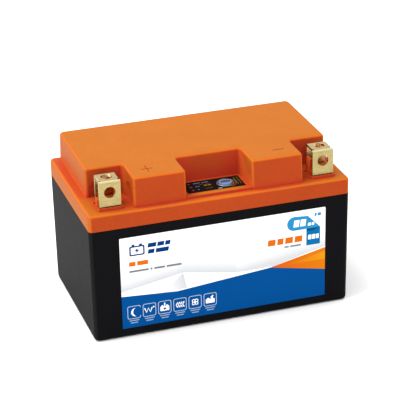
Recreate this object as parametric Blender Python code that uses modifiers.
"""Twelve-volt lithium starter battery for a motorcycle, in the standard 150 x 87 x 93 mm case.

Frame: metres, +Z up, origin at the centre of the bottom face. X is the length, with the positive
terminal at -X, and the labelled front faces -Y.
"""
import math

import bmesh
import bpy
from mathutils import Matrix, Vector

OBJECT_NAME = "motorcycle_battery"

# Clearance between neighbouring pieces, and the wall of the moulded shells.
GAP = 0.0003
WALL = 0.0025
OVERRUN = 0.002

# Case: an open box whose end walls lean in slightly towards the bottom.
CASE_LENGTH = 0.150
CASE_WIDTH = 0.087
CASE_TOP = 0.0663
CASE_CORNER = 0.0025
CASE_END_DRAFT = 0.9913
CASE_FOOT_ROUND = 0.0022

# Front label, in a shallow pocket of the case's front wall.
LABEL_LEFT = -0.0586
LABEL_RIGHT = 0.0606
LABEL_BOTTOM = 0.0056
LABEL_TOP = 0.0605
LABEL_THICKNESS = 0.0002
LABEL_CORNER = 0.0006

# Lid rim, which covers the top of the case, and the raised block on it.
RIM_LENGTH = 0.1500
RIM_WIDTH = 0.0870
RIM_BOTTOM = 0.0666
RIM_TOP = 0.0760
RIM_ROUND = 0.0018
RIM_CORNER = 0.0024
RIM_CEILING = RIM_TOP - WALL
TONGUE_BOTTOM = 0.0635
TONGUE_WALL = 0.0016
TONGUE_CORNER = 0.0015
BLOCK_CAVITY_CORNER = 0.0010
BLOCK_TOP = 0.0930
BLOCK_BASE = 0.0740
BLOCK_HALF_LENGTH = 0.0696
BLOCK_FRONT = -0.0393
BLOCK_BACK = 0.0395
BLOCK_BASE_SCALE = (1.0046, 1.0290)
BLOCK_ROUND = 0.0015
BLOCK_CORNER = 0.0028

# Notch at each front corner for a terminal, and the round relief in its inner side wall.
NOTCH_SIDE = 0.0484
NOTCH_BACK = -0.0183
RELIEF_RADIUS = 0.0140
RELIEF_DEPTH = 0.0024
RELIEF_Y = -0.0300
RELIEF_Z = 0.0795
RELIEF_STEPS = 8

# Recess in the middle of the front, with the tester on its floor.
RECESS_HALF = 0.0188
RECESS_BACK = -0.0194
RECESS_FLOOR = 0.0775
RECESS_LIP = -0.0397
RECESS_UNDERSIDE = RECESS_FLOOR - WALL
RECESS_OVERLAP = 0.0009

# Engraved polarity marks.
MARK_X = 0.0379
MARK_Y = -0.0295
MARK_ARM_X = 0.0034
MARK_ARM_Y = 0.0040
MARK_WIDTH = 0.0007
MARK_DEPTH = 0.0005

# Seal between the lid and the top edge of the case, and the lid's groove for it.
SEAL_HALF = 0.0004
SEAL_HEIGHT = 0.0012
SEAL_GROOVE_HALF = 0.0007
SEAL_GROOVE_DEPTH = 0.0015
SEAL_OUTER_CORNER = 0.0022
SEAL_INNER_CORNER = 0.0010

# Terminals: brass sheet folded over as an upturned U, with its open sides left and right.
TERMINAL_X = 0.0611
TERMINAL_HALF = 0.0061
TERMINAL_TOP_HALF = 0.0055
TERMINAL_FRONT = -0.0378
TERMINAL_BACK = -0.0258
TERMINAL_TOP = 0.0927
TERMINAL_SHEET = 0.0014
TERMINAL_BEND = 0.0017
TERMINAL_FRONT_FOOT = 0.0620
TERMINAL_BACK_FOOT = 0.0752
TERMINAL_TAIL_HALF = 0.0040
TERMINAL_TAIL_TOP = 0.0770
TERMINAL_HOLE = 0.0032
FRONT_HOLE_Z = 0.0860
TOP_HOLE_Y = -0.0314
FOLD_RELIEF = 0.0008
FOLD_RELIEF_SETBACK = 0.0011
FOLD_RELIEF_DEPTH = 0.0026
RIB_TOP = 0.0776
RIB_FRONT = -0.0389
TAIL_STEP = 0.0003
PLATFORM_TOP = 0.0800
KEEPER_TOP = 0.0857
KEEPER_FRONT = -0.0330
KEEPER_WALL = 0.0012
GROOVE_REACH = 0.0030
GROOVE_FRONT = -0.0345
GROOVE_BACK = -0.0325

# Tester: overlay, bezel and button in the recess, and the board hung under its floor.
OVERLAY_LEFT = -0.0164
OVERLAY_RIGHT = 0.0164
OVERLAY_FRONT = -0.0359
OVERLAY_BACK = -0.0218
OVERLAY_THICKNESS = 0.0005
OVERLAY_POCKET = 0.0007
OVERLAY_FLOOR = RECESS_FLOOR - OVERLAY_POCKET
BUTTON_X = 0.0068
BUTTON_Y = -0.0293
BUTTON_RADIUS = 0.0039
BUTTON_RIM = 0.0783
BUTTON_DOME = 0.0003
BUTTON_CHAMFER = 0.0004
BUTTON_COLLAR = 0.0052
BUTTON_TRAVEL = 0.0005
BEZEL_RADIUS = 0.0050
BEZEL_TOP = 0.0780
BEZEL_CHAMFER = 0.0002
LIGHT_X = -0.0128
LIGHT_ROWS = (-0.0242, -0.0284, -0.0326)
LIGHT_RADIUS = 0.0009
LAMP_HALF = 0.0008
LAMP_HEIGHT = 0.0008
GUIDE_HALF = 0.0012
GUIDE_THICKNESS = 0.0008
GUIDE_FRONT_MARGIN = 0.0014
GUIDE_BACK_MARGIN = 0.0006
BACK_ROD_SHIFT = 0.0001
TESTER_BOARD_TOP = 0.0706
BOARD_THICKNESS = 0.0016
TESTER_BOARD_HALF = 0.0176
TESTER_BOARD_BACK = -0.0202
TESTER_POSTS = ((-0.0088, -0.0335), (0.0144, -0.0225))
SWITCH_HALF = 0.0030
SWITCH_HEIGHT = 0.0020
SWITCH_BASE = 0.0002
SWITCH_WELL_FLOOR = TESTER_BOARD_TOP + GAP + SWITCH_BASE
PLUNGER_RADIUS = 0.00175
PLUNGER_CHAMFER = 0.0002
PLUNGER_RISE = 0.0008
PLUNGER_TOP = TESTER_BOARD_TOP + SWITCH_HEIGHT + PLUNGER_RISE

# Eight round cells standing in two rows, behind the terminals and the tester.
CELL_RADIUS = 0.0130
CELL_LENGTH = 0.0650
CELL_BOTTOM = 0.0056
CELL_PITCH = 0.0276
CELL_COLUMNS = 4
CELL_ROWS = 2
CELL_NECK_RADIUS = 0.0050
CELL_NECK_HEIGHT = 0.0008
CELL_EDGE = 0.0006
PACK_Y = 0.0104
HOLDER_LIP = 0.0008
HOLDER_HEIGHT = 0.0068
HOLDER_MARGIN = 0.0004
HOLDER_OPENING = 0.0100
HOLDER_CORNER = 0.0030
STRIP_THICKNESS = 0.0003
STRIP_HALF_WIDTH = 0.0100
STRIP_WELD = 0.0040
STRIP_CORNER = 0.0020
TAB_OUT = 0.0072
TAB_HALF_THICKNESS = 0.0003
TAB_HALF_WIDTH = 0.0060
TAB_RISE = 0.0008

# Protection board on posts of the upper cell holder.
BOARD_BOTTOM = 0.0780
BOARD_TOP = BOARD_BOTTOM + BOARD_THICKNESS
BOARD_CORNER = 0.0020
BOARD_HALF_LENGTH = 0.0500
BOARD_FRONT = -0.0150
BOARD_BACK = 0.0350
POST_RADIUS = 0.0025
POST_ROWS = (-0.0080, 0.0300)
SCREW_SHANK = 0.0010
SCREW_HEAD = 0.0023
SCREW_HEAD_HEIGHT = 0.0014
BOARD_SCREW_BITE = 0.0040
TESTER_SCREW_BITE = 0.0010

# Components on the protection board: front left corner, then width, depth and height.
TRANSISTOR_COUNT = 4
TRANSISTOR_PITCH = 0.0085
TRANSISTOR_FRONT = 0.0170
TRANSISTOR_SIZE = (0.0060, 0.0070, 0.0022)
CONTROL_CHIP_CORNER = (-0.0060, 0.0000)
CONTROL_CHIP_SIZE = (0.0100, 0.0070, 0.0016)
SHUNT_CORNER = (0.0300, 0.0150)
SHUNT_SIZE = (0.0100, 0.0040, 0.0010)
CAPACITOR_X = 0.0150
CAPACITOR_Y = 0.0030
CAPACITOR_RADIUS = 0.0040
CAPACITOR_HEIGHT = 0.0080
CAPACITOR_EDGE = 0.0006

# Lugs, which a rivet holds to the tails of the terminals.
LUG_THICKNESS = 0.0010
LUG_TOP = 0.0720
BARREL_TOP = 0.0590
BARREL_LENGTH = 0.0090
BARREL_WALL = 0.0008
BARREL_END = 0.0012
RIVET_RADIUS = 0.0013
RIVET_HEAD_RADIUS = 0.0022
RIVET_HEAD = 0.0010

# Main leads: straight down from the lug, then points given as the distance in from the terminal,
# y and z. They rise between the cells and the end wall and end on the protection board.
MAIN_LEAD_RADIUS = 0.0024
MAIN_LEAD_TOP = 0.0575
MAIN_LEAD_STRAIGHT = 0.0090
MAIN_LEAD_SPACING = 0.0045
MAIN_LEAD_ROUTE = ((0.0, -0.0303, 0.0430), (0.0, -0.0220, 0.0385), (0.0, -0.0135, 0.0430),
                   (0.0, -0.0110, 0.0540), (0.0, -0.0100, 0.0680), (0.0, -0.0095, 0.0770),
                   (0.0035, -0.0085, 0.0830), (0.0100, -0.0075, 0.0834),
                   (0.0170, -0.0070, 0.0826))

# Thin leads: they climb in front of the upper holder, cross it, and reach the board from below.
THIN_LEAD_RADIUS = 0.0005
THIN_LEAD_FRONT = 0.0012
SENSE_SPACING = 0.0030
SENSE_BEND = 0.0016
SENSE_RISE = (0.0120, 0.0400, 0.0660, 0.0705)
TESTER_LEAD_SPACING = 0.0020
TESTER_LEAD_START = -0.0215
TESTER_LEAD_BEND = (-0.0203, 0.0714)
CROSSING = ((0.0003, -0.0010), (0.0012, 0.0), (0.0026, 0.0001), (0.0038, 0.0016))
CROSSING_END = 0.0040
CROSSING_TOP = 0.0755

# Foam blocks round the cell pack.
FOAM_BASE = 0.0008
FOAM_HALF = 0.0520
FOAM_SIDE_FRONT = -0.0150
FOAM_SIDE_TOP = 0.0340
FOAM_FRONT_TOP = 0.0620
FOAM_FRONT_SPACE = 0.0024
FOAM_BACK_TOP = 0.0600

SIDE_NAMES = {-1: "left", 1: "right"}

# Segments in a whole turn, from the smallest holes to the widest rounds, and in a corner.
SMALL_STEPS = 12
POST_STEPS = 16
CELL_STEPS = 20
ROUND_STEPS = 24
POCKET_STEPS = 28
FINE_STEPS = 32
CORNER_STEPS = 4
FOLD_STEPS = 5


def clear_scene():
    for obj in list(bpy.data.objects):
        bpy.data.objects.remove(obj, do_unlink=True)


def new_collection(name):
    collection = bpy.data.collections.new(name)
    bpy.context.scene.collection.children.link(collection)
    return collection


def new_material(name, colour, roughness, metallic=0.0):
    material = bpy.data.materials.new(name)
    material.use_nodes = True
    shader = material.node_tree.nodes["Principled BSDF"]
    shader.inputs["Base Color"].default_value = (*colour, 1.0)
    shader.inputs["Roughness"].default_value = roughness
    shader.inputs["Metallic"].default_value = metallic
    return material


def object_from_bmesh(name, bm):
    mesh = bpy.data.meshes.new(name)
    bm.to_mesh(mesh)
    bm.free()
    return bpy.data.objects.new(name, mesh)


def add_piece(obj, material):
    """Put a finished sub-part in the object's collection, with its material."""
    obj.data.materials.clear()
    obj.data.materials.append(material)
    if obj.type == "MESH":
        obj.data.shade_smooth()
        obj.data.set_sharp_from_angle(angle=math.radians(35))
    PIECES.objects.link(obj)
    return obj


def combine(target, tool, operation):
    """Join a tool to a target, or cut it out, and put the tool with the cutters."""
    if tool.name not in CUTTERS.objects:
        CUTTERS.objects.link(tool)
        tool.hide_render = True
        tool.display_type = "WIRE"
    modifier = target.modifiers.new(tool.name, "BOOLEAN")
    modifier.operation = operation
    modifier.solver = "EXACT"
    modifier.object = tool


def cut(target, *tools):
    for tool in tools:
        combine(target, tool, "DIFFERENCE")


def join(target, *tools):
    for tool in tools:
        combine(target, tool, "UNION")


def box(name, low, high):
    bm = bmesh.new()
    low = Vector(low)
    high = Vector(high)
    placement = Matrix.LocRotScale((low + high) / 2, None, high - low)
    bmesh.ops.create_cube(bm, size=1.0, matrix=placement)
    return object_from_bmesh(name, bm)


def rod(name, start, end, radius, steps=ROUND_STEPS):
    """A round bar between two points."""
    bm = bmesh.new()
    start = Vector(start)
    along = Vector(end) - start
    turn = Vector((0.0, 0.0, 1.0)).rotation_difference(along)
    placement = Matrix.LocRotScale(start + along / 2, turn, None)
    bmesh.ops.create_cone(bm, cap_ends=True, segments=steps, radius1=radius, radius2=radius,
                          depth=along.length, matrix=placement)
    return object_from_bmesh(name, bm)


def upright(name, x, y, low, high, radius, steps=ROUND_STEPS):
    return rod(name, (x, y, low), (x, y, high), radius, steps)


def turned(name, profile, steps=ROUND_STEPS):
    """A solid of revolution about Z; the profile runs down its outer side from top to bottom."""
    mesh = bpy.data.meshes.new(name)
    edges = [(index, index + 1) for index in range(len(profile) - 1)]
    mesh.from_pydata([(radius, 0.0, height) for radius, height in profile], edges, [])
    obj = bpy.data.objects.new(name, mesh)
    screw = obj.modifiers.new("turn", "SCREW")
    screw.axis = "Z"
    screw.angle = 2 * math.pi
    screw.steps = steps
    screw.render_steps = steps
    screw.use_merge_vertices = True
    screw.merge_threshold = 0.00001
    screw.use_smooth_shade = True
    return obj


def mesh_from_curve(name, curve, placement):
    """Turn a curve into a closed mesh with welded caps, in place."""
    holder = bpy.data.objects.new(name, curve)
    bpy.context.scene.collection.objects.link(holder)
    holder.matrix_world = placement
    bpy.context.view_layer.update()
    graph = bpy.context.evaluated_depsgraph_get()
    mesh = bpy.data.meshes.new_from_object(holder.evaluated_get(graph))
    bpy.data.objects.remove(holder, do_unlink=True)
    mesh.transform(placement)
    bm = bmesh.new()
    bm.from_mesh(mesh)
    bmesh.ops.remove_doubles(bm, verts=bm.verts, dist=0.00001)
    bmesh.ops.dissolve_limit(bm, angle_limit=math.radians(1), verts=bm.verts, edges=bm.edges)
    bpy.data.meshes.remove(mesh)
    return object_from_bmesh(name, bm)


def flat_outline(name, points, thickness):
    """A filled 2D curve in its own XY plane."""
    curve = bpy.data.curves.new(name, "CURVE")
    curve.dimensions = "2D"
    curve.fill_mode = "BOTH"
    curve.extrude = thickness / 2
    spline = curve.splines.new("POLY")
    spline.points.add(len(points) - 1)
    for target, (x, y) in zip(spline.points, points):
        target.co = (x, y, 0.0, 1.0)
    spline.use_cyclic_u = True
    return curve


def slab(name, points, low, high):
    """A horizontal plate with the given outline, from one height to another."""
    placement = Matrix.Translation((0.0, 0.0, (low + high) / 2))
    return mesh_from_curve(name, flat_outline(name, points, high - low), placement)


def rounded(corners, steps=CORNER_STEPS):
    """Replace each (x, y, radius) corner of an outline by an arc; a radius of 0 stays sharp."""
    points = []
    for index, (x, y, radius) in enumerate(corners):
        if radius == 0.0:
            points.append((x, y))
            continue
        here = Vector((x, y))
        before = (Vector(corners[index - 1][:2]) - here).normalized()
        after = (Vector(corners[(index + 1) % len(corners)][:2]) - here).normalized()
        half = before.angle(after) / 2
        reach = radius / math.tan(half)
        centre = here + (before + after).normalized() * radius / math.sin(half)
        first = here + before * reach - centre
        sweep = first.angle_signed(here + after * reach - centre)
        for step in range(steps + 1):
            angle = -sweep * step / steps
            turned_arm = Matrix.Rotation(angle, 2) @ first
            points.append(tuple(centre + turned_arm))
    return points


def rectangle(half_x, low_y, high_y, radius):
    return [(-half_x, low_y, radius), (half_x, low_y, radius),
            (half_x, high_y, radius), (-half_x, high_y, radius)]


def scale_ring(obj, below, factors):
    """Scale the points lower than a height about the vertical axis, which leans the walls."""
    for vertex in obj.data.vertices:
        if vertex.co.z < below:
            vertex.co.x *= factors[0]
            vertex.co.y *= factors[1]


def round_ring(obj, height, radius, steps=CORNER_STEPS):
    """Round the outer edges that lie at one height."""
    bm = bmesh.new()
    bm.from_mesh(obj.data)
    ring = [edge for edge in bm.edges
            if all(abs(vertex.co.z - height) < 0.00001 for vertex in edge.verts)
            and edge.calc_face_angle() > math.radians(45)]
    bmesh.ops.bevel(bm, geom=ring, offset=radius, segments=steps, profile=0.5, affect="EDGES")
    bm.to_mesh(obj.data)
    bm.free()


def smooth_route(knots, spacing):
    """Points every so often along a Catmull-Rom curve through the knots."""
    knots = [Vector(knot) for knot in knots]
    ends = [2 * knots[0] - knots[1]] + knots + [2 * knots[-1] - knots[-2]]
    points = []
    for a, b, c, d in zip(ends, ends[1:], ends[2:], ends[3:]):
        count = max(1, round((c - b).length / spacing))
        for step in range(count):
            t = step / count
            points.append(0.5 * (2 * b + (c - a) * t + (2 * a - 5 * b + 4 * c - d) * t ** 2
                                 + (3 * b - a - 3 * c + d) * t ** 3))
    return points + [knots[-1]]


def wire(name, knots, radius, spacing):
    """A round lead along a smooth route."""
    curve = bpy.data.curves.new(name, "CURVE")
    curve.dimensions = "3D"
    curve.bevel_depth = radius
    curve.bevel_resolution = 2
    curve.use_fill_caps = True
    points = smooth_route(knots, spacing)
    spline = curve.splines.new("POLY")
    spline.points.add(len(points) - 1)
    for target, point in zip(spline.points, points):
        target.co = (*point, 1.0)
    return bpy.data.objects.new(name, curve)


def build_case(material):
    half = CASE_LENGTH / 2
    depth = CASE_WIDTH / 2
    case = slab("case", rounded(rectangle(half, -depth, depth, CASE_CORNER)), 0.0, CASE_TOP)
    scale_ring(case, CASE_TOP / 2, (CASE_END_DRAFT, 1.0))
    round_ring(case, 0.0, CASE_FOOT_ROUND)
    cavity = slab("case_cavity",
                  rounded(rectangle(half - WALL, -depth + WALL, depth - WALL, CASE_CORNER / 2)),
                  WALL, CASE_TOP + OVERRUN)
    scale_ring(cavity, CASE_TOP / 2, (CASE_END_DRAFT, 1.0))
    pocket_back = -depth + LABEL_THICKNESS + GAP
    pocket = box("label_pocket", (LABEL_LEFT - GAP, -depth - OVERRUN, LABEL_BOTTOM - GAP),
                 (LABEL_RIGHT + GAP, pocket_back, LABEL_TOP + GAP))
    cut(case, cavity, pocket)
    add_piece(case, material)


def build_label(material):
    corners = [(LABEL_LEFT, LABEL_BOTTOM, LABEL_CORNER), (LABEL_RIGHT, LABEL_BOTTOM, LABEL_CORNER),
               (LABEL_RIGHT, LABEL_TOP, LABEL_CORNER), (LABEL_LEFT, LABEL_TOP, LABEL_CORNER)]
    outline = flat_outline("front_label", rounded(corners), LABEL_THICKNESS)
    placement = (Matrix.Translation((0.0, -CASE_WIDTH / 2 + LABEL_THICKNESS / 2, 0.0))
                 @ Matrix.Rotation(math.pi / 2, 4, "X"))
    add_piece(mesh_from_curve("front_label", outline, placement), material)


def block_outline(half, front, back, side, notch_back, recess, recess_back, corner):
    """Plan of the raised block: a rectangle less two corner notches and a front recess."""
    small = corner * 0.6
    right = [(recess, recess_back, small), (recess, front, small), (side, front, small),
             (side, notch_back, small), (half, notch_back, small), (half, back, corner)]
    left = [(-x, y, radius) for x, y, radius in reversed(right)]
    return rounded(right + left)


def terminal_seat(side):
    """The moulded seat of one terminal: rib, nut platform and keeper wall, and their cuts."""
    name = "positive" if side < 0 else "negative"

    def across(inner, outer):
        return sorted((side * inner, side * outer))

    def seat_box(label, inner, outer, front, back, low, high):
        x_low, x_high = across(inner, outer)
        return box(f"{name}_{label}", (x_low, front, low), (x_high, back, high))

    inside_front = TERMINAL_FRONT + TERMINAL_SHEET + GAP
    inside_back = TERMINAL_BACK - TERMINAL_SHEET - GAP
    inner = TERMINAL_X - TERMINAL_HALF
    outer = TERMINAL_X + TERMINAL_HALF
    root = (RIM_CEILING + RIM_TOP) / 2
    solids = [
        seat_box("rib", inner - GAP * 2, outer + GAP * 2, RIB_FRONT, inside_front + GAP,
                 root, RIB_TOP),
        seat_box("platform", inner + KEEPER_WALL / 2, outer - GAP, TERMINAL_FRONT, TERMINAL_BACK,
                 root, PLATFORM_TOP),
        seat_box("keeper", inner + GAP, inner + GAP + KEEPER_WALL, KEEPER_FRONT, TERMINAL_BACK,
                 root, KEEPER_TOP),
    ]
    front_slot = seat_box("front_slot", inner - GAP, outer + GAP, TERMINAL_FRONT - GAP,
                          inside_front, TERMINAL_TAIL_TOP - GAP, TERMINAL_TOP)
    tail_slot = seat_box("tail_slot", TERMINAL_X - TERMINAL_TAIL_HALF - GAP,
                         TERMINAL_X + TERMINAL_TAIL_HALF + GAP, TERMINAL_FRONT - GAP,
                         inside_front, RIM_CEILING - OVERRUN, TERMINAL_TOP)
    back_slot = seat_box("back_slot", inner - GAP, outer + GAP, inside_back,
                         TERMINAL_BACK + GAP, TERMINAL_BACK_FOOT - GAP, TERMINAL_TOP)
    groove = seat_box("platform_groove", outer - GROOVE_REACH, outer, GROOVE_FRONT, GROOVE_BACK,
                      RIM_TOP + GAP, PLATFORM_TOP + OVERRUN)
    return solids, [front_slot, tail_slot, back_slot, groove]


def side_relief(side):
    """A round-topped scoop out of a notch's inner side wall."""
    x = side * (NOTCH_SIDE + RELIEF_RADIUS - RELIEF_DEPTH)
    angles = [step * math.pi / 2 / RELIEF_STEPS for step in range(RELIEF_STEPS + 1)]
    arc = [(RELIEF_RADIUS * math.sin(angle), RELIEF_RADIUS * math.cos(angle)) for angle in angles]
    profile = arc + [(RELIEF_RADIUS, RIM_TOP - RELIEF_Z), (0.0, RIM_TOP - RELIEF_Z)]
    relief = turned(f"relief_{SIDE_NAMES[side]}", profile, 4 * RELIEF_STEPS)
    relief.location = (x, RELIEF_Y, RELIEF_Z)
    return relief


def polarity_marks():
    low = BLOCK_TOP - MARK_DEPTH
    high = BLOCK_TOP + OVERRUN
    half = MARK_WIDTH / 2
    marks = []
    for name, x, arm_x, arm_y in (("plus_bar", -MARK_X, MARK_ARM_X, half),
                                  ("plus_stem", -MARK_X, half, MARK_ARM_Y),
                                  ("minus_bar", MARK_X, MARK_ARM_X, half)):
        marks.append(box(name, (x - arm_x, MARK_Y - arm_y, low), (x + arm_x, MARK_Y + arm_y, high)))
    return marks


def lid_cavities():
    """The hollows under the rim, the block and the recess floor."""
    inset = WALL + GAP + TONGUE_WALL
    depth = CASE_WIDTH / 2 - inset
    rim = slab("rim_cavity",
               rounded(rectangle(CASE_LENGTH / 2 - inset, -depth, depth, TONGUE_CORNER)),
               TONGUE_BOTTOM - OVERRUN, RIM_CEILING)
    block = slab("block_cavity",
                 block_outline(BLOCK_HALF_LENGTH - WALL, BLOCK_FRONT + WALL, BLOCK_BACK - WALL,
                               NOTCH_SIDE - WALL - RELIEF_DEPTH, NOTCH_BACK + WALL,
                               RECESS_HALF + WALL, RECESS_BACK + WALL, BLOCK_CAVITY_CORNER),
                 RIM_CEILING - OVERRUN, BLOCK_TOP - WALL)
    recess = box("recess_cavity", (-RECESS_HALF + GAP, BLOCK_FRONT + WALL, RIM_CEILING - OVERRUN),
                 (RECESS_HALF - GAP, RECESS_BACK - GAP, RECESS_UNDERSIDE))
    return rim, block, recess


def seal_ring(name, half_width, low, high):
    """A ring that follows the top edge of the case."""
    half = CASE_LENGTH / 2 - WALL / 2
    depth = CASE_WIDTH / 2 - WALL / 2
    outer = rectangle(half + half_width, -depth - half_width, depth + half_width,
                      SEAL_OUTER_CORNER)
    inner = rectangle(half - half_width, -depth + half_width, depth - half_width,
                      SEAL_INNER_CORNER)
    ring = slab(name, rounded(outer), low, high)
    cut(ring, slab(f"{name}_core", rounded(inner), low - OVERRUN, high + OVERRUN))
    return ring


def build_lid_shell():
    """The rim with its tongue, the raised block and the recess floor, hollow underneath."""
    rim = slab("lid", rounded(rectangle(RIM_LENGTH / 2, -RIM_WIDTH / 2, RIM_WIDTH / 2,
                                        RIM_CORNER)), RIM_BOTTOM, RIM_TOP)
    round_ring(rim, RIM_TOP, RIM_ROUND)
    half = CASE_LENGTH / 2 - WALL - GAP
    depth = CASE_WIDTH / 2 - WALL - GAP
    tongue = slab("lid_tongue", rounded(rectangle(half, -depth, depth, TONGUE_CORNER)),
                  TONGUE_BOTTOM, RIM_BOTTOM + OVERRUN)
    block = slab("lid_block",
                 block_outline(BLOCK_HALF_LENGTH, BLOCK_FRONT, BLOCK_BACK, NOTCH_SIDE, NOTCH_BACK,
                               RECESS_HALF, RECESS_BACK, BLOCK_CORNER), BLOCK_BASE, BLOCK_TOP)
    scale_ring(block, RIM_TOP, BLOCK_BASE_SCALE)
    round_ring(block, BLOCK_TOP, BLOCK_ROUND)
    tray = box("recess_floor",
               (-RECESS_HALF - RECESS_OVERLAP, RECESS_LIP, RIM_CEILING + GAP),
               (RECESS_HALF + RECESS_OVERLAP, RECESS_BACK + RECESS_OVERLAP, RECESS_FLOOR))
    join(rim, tongue, block, tray)
    cut(rim, *lid_cavities())
    return rim


def fit_tester_posts(lid):
    """Hollow posts under the recess floor, which the tester board is screwed to."""
    for index, (x, y) in enumerate(TESTER_POSTS):
        join(lid, upright(f"tester_post_{index + 1}", x, y, TESTER_BOARD_TOP + GAP,
                          RECESS_UNDERSIDE + GAP, POST_RADIUS, POST_STEPS))
        cut(lid, upright(f"tester_post_hole_{index + 1}", x, y, TESTER_BOARD_TOP - OVERRUN,
                         RECESS_UNDERSIDE - GAP, SCREW_SHANK + GAP, SMALL_STEPS))


def cut_light_holes(piece, low, high):
    for index, y in enumerate(LIGHT_ROWS):
        cut(piece, upright(f"{piece.name}_light_hole_{index + 1}", LIGHT_X, y, low, high,
                           LIGHT_RADIUS + GAP, SMALL_STEPS))


def build_lid(material):
    lid = build_lid_shell()
    for side in SIDE_NAMES:
        solids, slots = terminal_seat(side)
        cut(lid, side_relief(side))
        join(lid, *solids)
        cut(lid, *slots)
    fit_tester_posts(lid)
    pocket = box("overlay_pocket",
                 (OVERLAY_LEFT - GAP, OVERLAY_FRONT - GAP, OVERLAY_FLOOR),
                 (OVERLAY_RIGHT + GAP, OVERLAY_BACK + GAP, RECESS_FLOOR + OVERRUN))
    button_hole = upright("button_hole", BUTTON_X, BUTTON_Y, RIM_CEILING, RECESS_FLOOR,
                          BUTTON_RADIUS + GAP)
    cut(lid, pocket, button_hole)
    cut_light_holes(lid, RIM_CEILING, RECESS_FLOOR)
    groove = seal_ring("seal_groove", SEAL_GROOVE_HALF, RIM_BOTTOM - OVERRUN,
                       RIM_BOTTOM + SEAL_GROOVE_DEPTH)
    cut(lid, groove, *polarity_marks())
    add_piece(lid, material)


def terminal_profile():
    """Side view of the folded sheet as (y, z), with arcs at its two folds."""
    sheet = TERMINAL_SHEET
    bend = TERMINAL_BEND
    inner_bend = bend - sheet
    outer = [(TERMINAL_FRONT, TERMINAL_FRONT_FOOT, 0.0), (TERMINAL_FRONT, TERMINAL_TOP, bend),
             (TERMINAL_BACK, TERMINAL_TOP, bend), (TERMINAL_BACK, TERMINAL_BACK_FOOT, 0.0)]
    inner = [(TERMINAL_BACK - sheet, TERMINAL_BACK_FOOT, 0.0),
             (TERMINAL_BACK - sheet, TERMINAL_TOP - sheet, inner_bend),
             (TERMINAL_FRONT + sheet, TERMINAL_TOP - sheet, inner_bend),
             (TERMINAL_FRONT + sheet, TERMINAL_FRONT_FOOT, 0.0)]
    return outer + inner


def terminal_trims():
    """The cuts repeated at both edges: start across, front, back, low and high."""
    foot = TERMINAL_FRONT_FOOT - OVERRUN
    return {
        "top_trim": (TERMINAL_TOP_HALF, TERMINAL_FRONT + TERMINAL_BEND, TERMINAL_BACK + OVERRUN,
                     TERMINAL_BACK_FOOT - OVERRUN, TERMINAL_TOP + OVERRUN),
        "fold_relief": (TERMINAL_TOP_HALF - FOLD_RELIEF, TERMINAL_FRONT + FOLD_RELIEF_SETBACK,
                        TERMINAL_FRONT + FOLD_RELIEF_DEPTH,
                        TERMINAL_TOP - TERMINAL_BEND - FOLD_RELIEF, TERMINAL_TOP + OVERRUN),
        "tail_trim": (TERMINAL_TAIL_HALF, TERMINAL_FRONT - OVERRUN, TERMINAL_FRONT + OVERRUN,
                      foot, TERMINAL_TAIL_TOP),
    }


def build_terminal(name, side, material):
    x = side * TERMINAL_X
    outline = flat_outline(name, rounded(terminal_profile(), FOLD_STEPS), TERMINAL_HALF * 2)
    axes = Matrix(((0, 0, 1, x), (1, 0, 0, 0), (0, 1, 0, 0), (0, 0, 0, 1)))
    terminal = mesh_from_curve(name, outline, axes)
    front_hole = rod(f"{name}_front_hole", (x, TERMINAL_FRONT - OVERRUN, FRONT_HOLE_Z),
                     (x, TERMINAL_FRONT + 2 * OVERRUN, FRONT_HOLE_Z), TERMINAL_HOLE, FINE_STEPS)
    top_hole = upright(f"{name}_top_hole", x, TOP_HOLE_Y, TERMINAL_TOP - 2 * OVERRUN,
                       TERMINAL_TOP + OVERRUN, TERMINAL_HOLE, FINE_STEPS)
    tail_step = box(f"{name}_tail_step",
                    (x - 2 * TERMINAL_HALF, TERMINAL_FRONT - OVERRUN, TERMINAL_FRONT_FOOT - OVERRUN),
                    (x + 2 * TERMINAL_HALF, TERMINAL_FRONT + TAIL_STEP, RIB_TOP + GAP))
    cut(terminal, front_hole, top_hole, tail_step)
    for edge, edge_name in SIDE_NAMES.items():
        for label, (start, front, back, low, high) in terminal_trims().items():
            near, far = sorted((edge * start, edge * (TERMINAL_HALF + OVERRUN)))
            cut(terminal, box(f"{name}_{label}_{edge_name}", (x + near, front, low),
                              (x + far, back, high)))
    add_piece(terminal, material)


def build_overlay(material):
    """The tester's printed film, in a pocket of the recess floor."""
    low = OVERLAY_FLOOR + GAP
    overlay = box("tester_overlay", (OVERLAY_LEFT, OVERLAY_FRONT, low),
                  (OVERLAY_RIGHT, OVERLAY_BACK, low + OVERLAY_THICKNESS))
    cut(overlay, upright("overlay_button_hole", BUTTON_X, BUTTON_Y, OVERLAY_FLOOR, BLOCK_TOP,
                         BEZEL_RADIUS + GAP, FINE_STEPS))
    cut_light_holes(overlay, OVERLAY_FLOOR, BLOCK_TOP)
    add_piece(overlay, material)


def build_bezel(material):
    inner = BUTTON_RADIUS + GAP
    low = OVERLAY_FLOOR + GAP
    shoulder = BEZEL_TOP - BEZEL_CHAMFER
    profile = [(inner, shoulder), (inner + GAP, BEZEL_TOP),
               (BEZEL_RADIUS - BEZEL_CHAMFER, BEZEL_TOP), (BEZEL_RADIUS, shoulder),
               (BEZEL_RADIUS, low), (inner, low), (inner, shoulder)]
    bezel = turned("button_bezel", profile, FINE_STEPS)
    bezel.location = (BUTTON_X, BUTTON_Y, 0.0)
    add_piece(bezel, material)


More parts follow.
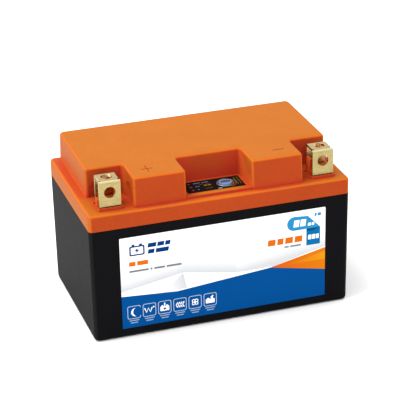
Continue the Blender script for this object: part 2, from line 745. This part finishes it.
def build_button(material):
    """A slightly domed cap, with a collar that the lid's recess floor holds down."""
    origin = PLUNGER_TOP + GAP
    rim = BUTTON_RIM - origin
    collar = RECESS_UNDERSIDE - GAP - origin
    profile = [(0.0, rim + BUTTON_DOME), (BUTTON_RADIUS / 2, rim + BUTTON_DOME * 3 / 4),
               (BUTTON_RADIUS - BUTTON_CHAMFER, rim), (BUTTON_RADIUS, rim - BUTTON_CHAMFER),
               (BUTTON_RADIUS, collar), (BUTTON_COLLAR, collar), (BUTTON_COLLAR, 0.0), (0.0, 0.0)]
    button = turned("test_button", profile, FINE_STEPS)
    button.location = (BUTTON_X, BUTTON_Y, origin)
    add_piece(button, material)


def build_switch(plunger_material, body_material):
    """The switch under the button, and its plunger, which moves with the button."""
    low = SWITCH_WELL_FLOOR + BUTTON_TRAVEL + GAP
    profile = [(0.0, PLUNGER_TOP), (PLUNGER_RADIUS - PLUNGER_CHAMFER, PLUNGER_TOP),
               (PLUNGER_RADIUS, PLUNGER_TOP - PLUNGER_CHAMFER), (PLUNGER_RADIUS, low), (0.0, low)]
    plunger = turned("switch_plunger", profile, POST_STEPS)
    plunger.location = (BUTTON_X, BUTTON_Y, 0.0)
    add_piece(plunger, plunger_material)
    seat = TESTER_BOARD_TOP + GAP
    body = box("test_switch", (BUTTON_X - SWITCH_HALF, BUTTON_Y - SWITCH_HALF, seat),
               (BUTTON_X + SWITCH_HALF, BUTTON_Y + SWITCH_HALF, seat + SWITCH_HEIGHT))
    cut(body, upright("switch_well", BUTTON_X, BUTTON_Y, SWITCH_WELL_FLOOR, BLOCK_TOP,
                      PLUNGER_RADIUS + GAP, POST_STEPS))
    add_piece(body, body_material)


def build_tester_board(board_material, screw_material):
    bottom = TESTER_BOARD_TOP - BOARD_THICKNESS
    board = box("tester_board", (-TESTER_BOARD_HALF, BLOCK_FRONT + WALL + GAP, bottom),
                (TESTER_BOARD_HALF, TESTER_BOARD_BACK, TESTER_BOARD_TOP))
    for index, (x, y) in enumerate(TESTER_POSTS):
        cut(board, upright(f"tester_board_hole_{index + 1}", x, y, TESTER_BOARD_TOP - OVERRUN,
                           TESTER_BOARD_TOP + OVERRUN, SCREW_SHANK + GAP, SMALL_STEPS))
        add_piece(screw(f"tester_screw_{index + 1}", x, y, bottom - GAP,
                        RECESS_UNDERSIDE - TESTER_SCREW_BITE, -1), screw_material)
    add_piece(board, board_material)


def build_lights(lamp_material, guide_material):
    """Three lamps on the board, and one clear guide that brings their light to the overlay."""
    lamp_low = TESTER_BOARD_TOP + GAP
    for index, y in enumerate(LIGHT_ROWS):
        add_piece(box(f"lamp_{index + 1}", (LIGHT_X - LAMP_HALF, y - LAMP_HALF, lamp_low),
                      (LIGHT_X + LAMP_HALF, y + LAMP_HALF, lamp_low + LAMP_HEIGHT)), lamp_material)
    back, middle, front = LIGHT_ROWS
    low = lamp_low + LAMP_HEIGHT + GAP
    guide = box("light_guide", (LIGHT_X - GUIDE_HALF, front - GUIDE_FRONT_MARGIN, low),
                (LIGHT_X + GUIDE_HALF, back - GUIDE_BACK_MARGIN, low + GUIDE_THICKNESS))
    for index, y in enumerate((back - BACK_ROD_SHIFT, middle, front)):
        join(guide, upright(f"light_rod_{index + 1}", LIGHT_X, y, low + GUIDE_THICKNESS / 2,
                            RECESS_FLOOR, LIGHT_RADIUS, SMALL_STEPS))
    add_piece(guide, guide_material)


def build_tester(materials):
    """The charge tester in the recess of the lid."""
    build_overlay(materials["overlay"])
    build_bezel(materials["bezel"])
    build_button(materials["button"])
    build_switch(materials["plunger"], materials["switch"])
    build_tester_board(materials["board"], materials["screw"])
    build_lights(materials["lamp"], materials["guide"])


def screw(name, x, y, seat, tip, side):
    """A pan-head screw; side is +1 with its head up and -1 with its head down."""
    head = seat + side * SCREW_HEAD_HEIGHT
    low, high = sorted((seat, head))
    body = upright(name, x, y, low, high, SCREW_HEAD, SMALL_STEPS)
    bm = bmesh.new()
    bm.from_mesh(body.data)
    bpy.data.objects.remove(body, do_unlink=True)
    seat_face = min(bm.faces, key=lambda face: abs(face.calc_center_median().z - seat)
                    + (0.0 if abs(face.normal.z) > 0.9 else 1.0))
    bmesh.ops.inset_region(bm, faces=[seat_face], thickness=SCREW_HEAD - SCREW_SHANK)
    moved = bmesh.ops.extrude_face_region(bm, geom=[seat_face])
    bmesh.ops.delete(bm, geom=[seat_face], context="FACES_ONLY")
    shank_end = [item for item in moved["geom"] if isinstance(item, bmesh.types.BMVert)]
    bmesh.ops.translate(bm, verts=shank_end, vec=(0.0, 0.0, tip - seat))
    return object_from_bmesh(name, bm)


def cell_places():
    for column in range(CELL_COLUMNS):
        x = (column - (CELL_COLUMNS - 1) / 2) * CELL_PITCH
        for row in range(CELL_ROWS):
            yield column, x, PACK_Y + (row - (CELL_ROWS - 1) / 2) * CELL_PITCH


def build_cells(material):
    """Round cells; neighbouring columns stand opposite ways up."""
    half = CELL_LENGTH / 2
    shoulder = half - CELL_NECK_HEIGHT
    profile = [(0.0, half), (CELL_NECK_RADIUS, half), (CELL_NECK_RADIUS, shoulder),
               (CELL_RADIUS - CELL_EDGE, shoulder), (CELL_RADIUS, shoulder - CELL_EDGE),
               (CELL_RADIUS, -half + CELL_EDGE), (CELL_RADIUS - CELL_EDGE, -half), (0.0, -half)]
    for index, (column, x, y) in enumerate(cell_places()):
        cell = turned(f"cell_{index + 1}", profile, CELL_STEPS)
        cell.location = (x, y, CELL_BOTTOM + half)
        if column % 2:
            cell.rotation_euler = (math.pi, 0.0, 0.0)
        add_piece(cell, material)


def build_holder(name, low, lip_low, material, posts=False):
    """A tray that grips one end of all the cells, with a thin lip over their rims."""
    half = CELL_PITCH * CELL_COLUMNS / 2 + HOLDER_MARGIN
    depth = CELL_PITCH * CELL_ROWS / 2 + HOLDER_MARGIN
    outline = rectangle(half, PACK_Y - depth, PACK_Y + depth, HOLDER_CORNER)
    holder = slab(name, rounded(outline), low, low + HOLDER_HEIGHT)
    pocket_low = low - OVERRUN if lip_low > low else lip_low + HOLDER_LIP
    pocket_high = lip_low if lip_low > low else low + HOLDER_HEIGHT + OVERRUN
    for index, (_, x, y) in enumerate(cell_places()):
        cut(holder, upright(f"{name}_pocket_{index + 1}", x, y, pocket_low, pocket_high,
                            CELL_RADIUS + GAP, POCKET_STEPS))
        cut(holder, upright(f"{name}_opening_{index + 1}", x, y, low - OVERRUN,
                            low + HOLDER_HEIGHT + OVERRUN, HOLDER_OPENING, POST_STEPS))
    if posts:
        for index, (x, y) in enumerate(post_places()):
            join(holder, upright(f"board_post_{index + 1}", x, y, lip_low, BOARD_BOTTOM - GAP,
                                 POST_RADIUS, POST_STEPS))
            cut(holder, upright(f"board_post_hole_{index + 1}", x, y, lip_low + HOLDER_LIP + GAP,
                                BOARD_BOTTOM + OVERRUN, SCREW_SHANK + GAP, SMALL_STEPS))
    add_piece(holder, material)


def post_places():
    return [(side * CELL_PITCH, y) for side in (-1, 1) for y in POST_ROWS]


def build_strip(name, columns, top, material, tab=0):
    """A welded strip across one or two columns, with a weld pad on every cell end."""
    centres = [(column - (CELL_COLUMNS - 1) / 2) * CELL_PITCH for column in columns]
    low_x = min(centres) - STRIP_HALF_WIDTH
    high_x = max(centres) + STRIP_HALF_WIDTH
    reach = CELL_PITCH / 2 + STRIP_HALF_WIDTH
    corners = [(x, y, STRIP_CORNER) for x, y in
               ((low_x, PACK_Y - reach), (high_x, PACK_Y - reach),
                (high_x, PACK_Y + reach), (low_x, PACK_Y + reach))]
    cell_end = CELL_BOTTOM + CELL_LENGTH if top else CELL_BOTTOM
    away = 1 if top else -1
    pad_face = cell_end + away * GAP
    sheet_near = pad_face + away * (HOLDER_LIP + GAP)
    sheet_far = sheet_near + away * STRIP_THICKNESS
    strip = slab(name, rounded(corners), *sorted((sheet_near, sheet_far)))
    middle = (sheet_near + sheet_far) / 2
    for index, x in enumerate(centres):
        for row in (-1, 1):
            y = PACK_Y + row * CELL_PITCH / 2
            join(strip, upright(f"{name}_pad_{index}_{row}", x, y, *sorted((pad_face, middle)),
                                STRIP_WELD, SMALL_STEPS))
    if tab:
        x = tab * (abs(centres[0]) + TAB_OUT)
        join(strip, box(f"{name}_tab",
                        (x - TAB_HALF_THICKNESS, PACK_Y - TAB_HALF_WIDTH, sheet_near),
                        (x + TAB_HALF_THICKNESS, PACK_Y + TAB_HALF_WIDTH, BOARD_TOP + TAB_RISE)))
    add_piece(strip, material)


def on_board(name, corner, size):
    """A box-shaped component that stands on the protection board."""
    low = Vector((*corner, BOARD_TOP + GAP))
    return box(name, low, low + Vector(size))


def build_components(materials):
    width = TRANSISTOR_SIZE[0]
    for index in range(TRANSISTOR_COUNT):
        x = (index - (TRANSISTOR_COUNT - 1) / 2) * TRANSISTOR_PITCH
        add_piece(on_board(f"power_transistor_{index + 1}", (x - width / 2, TRANSISTOR_FRONT),
                           TRANSISTOR_SIZE), materials["chip"])
    add_piece(on_board("control_chip", CONTROL_CHIP_CORNER, CONTROL_CHIP_SIZE), materials["chip"])
    add_piece(on_board("current_shunt", SHUNT_CORNER, SHUNT_SIZE), materials["strip"])
    low = BOARD_TOP + GAP
    top = low + CAPACITOR_HEIGHT
    capacitor = turned("filter_capacitor",
                       [(0.0, top), (CAPACITOR_RADIUS - CAPACITOR_EDGE, top),
                        (CAPACITOR_RADIUS, top - CAPACITOR_EDGE), (CAPACITOR_RADIUS, low),
                        (0.0, low)], CELL_STEPS)
    capacitor.location = (CAPACITOR_X, CAPACITOR_Y, 0.0)
    add_piece(capacitor, materials["capacitor"])


def build_protection_board(materials):
    """The board that balances the cells and switches the load, with its main components."""
    board = slab("protection_board",
                 rounded(rectangle(BOARD_HALF_LENGTH, BOARD_FRONT, BOARD_BACK, BOARD_CORNER)),
                 BOARD_BOTTOM, BOARD_TOP)
    for index, (x, y) in enumerate(post_places()):
        cut(board, upright(f"board_hole_{index + 1}", x, y, BOARD_BOTTOM - OVERRUN,
                           BOARD_TOP + OVERRUN, SCREW_SHANK + GAP, SMALL_STEPS))
        add_piece(screw(f"board_screw_{index + 1}", x, y, BOARD_TOP + GAP,
                        BOARD_BOTTOM - BOARD_SCREW_BITE, 1), materials["screw"])
    tab_x = (CELL_COLUMNS - 1) / 2 * CELL_PITCH + TAB_OUT
    half_slot = Vector((TAB_HALF_THICKNESS + GAP, TAB_HALF_WIDTH + GAP, BOARD_THICKNESS + OVERRUN))
    for side, side_name in SIDE_NAMES.items():
        middle = Vector((side * tab_x, PACK_Y, (BOARD_BOTTOM + BOARD_TOP) / 2))
        cut(board, box(f"tab_slot_{side_name}", middle - half_slot, middle + half_slot))
    add_piece(board, materials["board"])
    build_components(materials)


def build_lug(name, x, lug_front, barrel_y, material):
    """A flat lug with a crimp barrel, and the hole for the rivet that also pierces the tail."""
    lug_back = lug_front + LUG_THICKNESS
    lug = box(f"{name}_lug", (x - TERMINAL_TAIL_HALF, lug_front, BARREL_TOP - LUG_THICKNESS),
              (x + TERMINAL_TAIL_HALF, lug_back, LUG_TOP))
    bore = MAIN_LEAD_RADIUS + GAP
    join(lug, upright(f"{name}_barrel", x, barrel_y, BARREL_TOP - BARREL_LENGTH, BARREL_TOP,
                      bore + BARREL_WALL, POST_STEPS))
    cut(lug, upright(f"{name}_barrel_bore", x, barrel_y, BARREL_TOP - BARREL_LENGTH - OVERRUN,
                     BARREL_TOP - BARREL_END, bore, POST_STEPS))
    rivet_z = (TERMINAL_FRONT_FOOT + RIM_CEILING) / 2
    rivet_hole = rod(f"{name}_rivet_hole", (x, TERMINAL_FRONT - OVERRUN, rivet_z),
                     (x, lug_back + OVERRUN, rivet_z), RIVET_RADIUS + GAP, SMALL_STEPS)
    cut(lug, rivet_hole)
    cut(bpy.data.objects[f"{name}_terminal"], rivet_hole)
    add_piece(lug, material)
    return build_rivet(f"{name}_rivet", x, rivet_z, lug_back)


def build_main_leads(materials):
    """A heavy lead from the protection board to the tail of each terminal, with its lug."""
    lug_front = TERMINAL_FRONT + TERMINAL_SHEET + GAP
    barrel_y = lug_front + LUG_THICKNESS + MAIN_LEAD_RADIUS
    for name, side, sleeve in (("positive", -1, "red_sleeve"), ("negative", 1, "black_sleeve")):
        x = side * TERMINAL_X
        rivet = build_lug(name, x, lug_front, barrel_y, materials["lug"])
        add_piece(rivet, materials["screw"])
        knots = [(x, barrel_y, MAIN_LEAD_TOP), (x, barrel_y, MAIN_LEAD_TOP - MAIN_LEAD_STRAIGHT)]
        knots += [(x - side * inward, y, z) for inward, y, z in MAIN_LEAD_ROUTE]
        add_piece(wire(f"{name}_lead", knots, MAIN_LEAD_RADIUS, MAIN_LEAD_SPACING),
                  materials[sleeve])


def build_rivet(name, x, z, lug_back):
    """A rivet through a terminal's tail and its lug, along Y."""
    front = TERMINAL_FRONT - GAP
    length = lug_back + GAP - front
    rivet = turned(name, [(0.0, length + RIVET_HEAD), (RIVET_HEAD_RADIUS, length + RIVET_HEAD),
                          (RIVET_HEAD_RADIUS, length), (RIVET_RADIUS, length), (RIVET_RADIUS, 0.0),
                          (RIVET_HEAD_RADIUS, 0.0), (RIVET_HEAD_RADIUS, -RIVET_HEAD),
                          (0.0, -RIVET_HEAD)], SMALL_STEPS)
    rivet.rotation_euler = (-math.pi / 2, 0.0, 0.0)
    rivet.location = (x, front, z)
    return rivet


def crossing(x, front):
    """Over the upper holder's edge, under the lid's inner wall, and up to the board."""
    height = (CELL_BOTTOM + CELL_LENGTH + GAP + HOLDER_LIP + RIM_CEILING) / 2
    over = [(x, front + in_y, height + up_z) for in_y, up_z in CROSSING]
    return over + [(x, front + CROSSING_END, CROSSING_TOP),
                   (x, front + CROSSING_END, BOARD_BOTTOM - GAP)]


def build_thin_leads(material):
    """Sense leads from the lower strips, and the tester's lead, to the protection board."""
    low_z = WALL + 2 * THIN_LEAD_RADIUS
    strip_edge = PACK_Y - CELL_PITCH / 2 - STRIP_HALF_WIDTH
    front = PACK_Y - CELL_PITCH - HOLDER_MARGIN - THIN_LEAD_FRONT
    for index, x in enumerate((-CELL_PITCH, CELL_PITCH)):
        knots = [(x, strip_edge - GAP, low_z), (x, front + SENSE_BEND / 2, low_z + GAP),
                 (x, front, low_z + SENSE_BEND)]
        knots += [(x, front, z) for z in SENSE_RISE]
        add_piece(wire(f"sense_lead_{index + 1}", knots + crossing(x, front), THIN_LEAD_RADIUS,
                       SENSE_SPACING), material)
    knots = [(0.0, TESTER_LEAD_START, TESTER_BOARD_TOP + THIN_LEAD_RADIUS + GAP),
             (0.0, *TESTER_LEAD_BEND)]
    add_piece(wire("tester_lead", knots + crossing(0.0, front), THIN_LEAD_RADIUS,
                   TESTER_LEAD_SPACING), material)


def build_foam(material):
    """Foam blocks that fill the case around the cell pack."""
    end = CASE_LENGTH / 2 * CASE_END_DRAFT - WALL - GAP
    side = CASE_WIDTH / 2 - WALL - GAP
    half = CELL_PITCH * CELL_COLUMNS / 2 + HOLDER_MARGIN + GAP
    depth = CELL_PITCH * CELL_ROWS / 2 + HOLDER_MARGIN + GAP
    strip_edge = PACK_Y - CELL_PITCH / 2 - STRIP_HALF_WIDTH
    floor = WALL + GAP
    blocks = {
        "foam_base": ((-half + GAP, strip_edge + GAP, floor),
                      (half - GAP, PACK_Y + depth - GAP, floor + FOAM_BASE)),
        "foam_left": ((-end, FOAM_SIDE_FRONT, floor), (-half, PACK_Y + depth, FOAM_SIDE_TOP)),
        "foam_right": ((half, FOAM_SIDE_FRONT, floor), (end, PACK_Y + depth, FOAM_SIDE_TOP)),
        "foam_front": ((-FOAM_HALF, -side, floor),
                       (FOAM_HALF, PACK_Y - depth - FOAM_FRONT_SPACE, FOAM_FRONT_TOP)),
        "foam_back": ((-FOAM_HALF, PACK_Y + depth, floor), (FOAM_HALF, side, FOAM_BACK_TOP)),
    }
    for name, (low, high) in blocks.items():
        add_piece(box(name, low, high), material)


def build_seal(material):
    add_piece(seal_ring("lid_seal", SEAL_HALF, RIM_BOTTOM + GAP, RIM_BOTTOM + SEAL_HEIGHT), material)


def main():
    board = new_material("circuit_board", (0.01, 0.09, 0.03), 0.5)
    strip = new_material("nickel_strip", (0.62, 0.60, 0.55), 0.35, 1.0)
    screw_steel = new_material("fastener_steel", (0.55, 0.55, 0.56), 0.3, 1.0)
    brass = new_material("terminal_brass", (0.70, 0.58, 0.30), 0.32, 1.0)
    tester = {
        "overlay": new_material("overlay_black", (0.01, 0.01, 0.012), 0.35),
        "bezel": new_material("bezel_silver", (0.62, 0.62, 0.60), 0.25, 1.0),
        "button": new_material("button_blue", (0.16, 0.30, 0.62), 0.35),
        "plunger": new_material("plunger_black", (0.02, 0.02, 0.02), 0.5),
        "switch": new_material("switch_body", (0.05, 0.05, 0.05), 0.5),
        "board": board,
        "screw": screw_steel,
        "lamp": new_material("lamp_resin", (0.75, 0.72, 0.55), 0.3),
        "guide": new_material("clear_guide", (0.80, 0.25, 0.15), 0.15),
    }
    lid = new_material("lid_orange", (0.72, 0.19, 0.025), 0.5)
    foam = new_material("foam_grey", (0.10, 0.10, 0.11), 0.95)
    holder = new_material("holder_black", (0.03, 0.03, 0.03), 0.55)
    build_case(new_material("case_black", (0.012, 0.012, 0.014), 0.5))
    build_label(new_material("label_print", (0.75, 0.78, 0.80), 0.35))
    build_lid(lid)
    build_seal(new_material("seal_sealant", (0.15, 0.15, 0.15), 0.7))
    build_terminal("positive_terminal", -1, brass)
    build_terminal("negative_terminal", 1, brass)
    build_tester(tester)
    build_cells(new_material("cell_sleeve", (0.02, 0.20, 0.45), 0.4))
    lower = CELL_BOTTOM - GAP - HOLDER_LIP
    upper_lip = CELL_BOTTOM + CELL_LENGTH + GAP
    build_holder("lower_cell_holder", lower, lower, holder)
    build_holder("upper_cell_holder", upper_lip + HOLDER_LIP - HOLDER_HEIGHT, upper_lip, holder,
                 posts=True)
    build_strip("positive_strip", (0,), True, strip, tab=-1)
    build_strip("upper_link_strip", (1, 2), True, strip)
    build_strip("negative_strip", (3,), True, strip, tab=1)
    build_strip("lower_link_strip_1", (0, 1), False, strip)
    build_strip("lower_link_strip_2", (2, 3), False, strip)
    build_protection_board({
        "board": board, "screw": screw_steel, "strip": strip,
        "chip": new_material("chip_resin", (0.02, 0.02, 0.02), 0.45),
        "capacitor": new_material("capacitor_can", (0.45, 0.46, 0.48), 0.35, 1.0),
    })
    build_main_leads({
        "lug": new_material("lug_copper", (0.62, 0.36, 0.22), 0.3, 1.0), "screw": screw_steel,
        "red_sleeve": new_material("lead_red", (0.50, 0.02, 0.02), 0.5),
        "black_sleeve": new_material("lead_black", (0.015, 0.015, 0.015), 0.5),
    })
    build_thin_leads(new_material("lead_white", (0.70, 0.70, 0.68), 0.5))
    build_foam(foam)


clear_scene()
PIECES = new_collection(OBJECT_NAME)
CUTTERS = new_collection("cutters")
main()
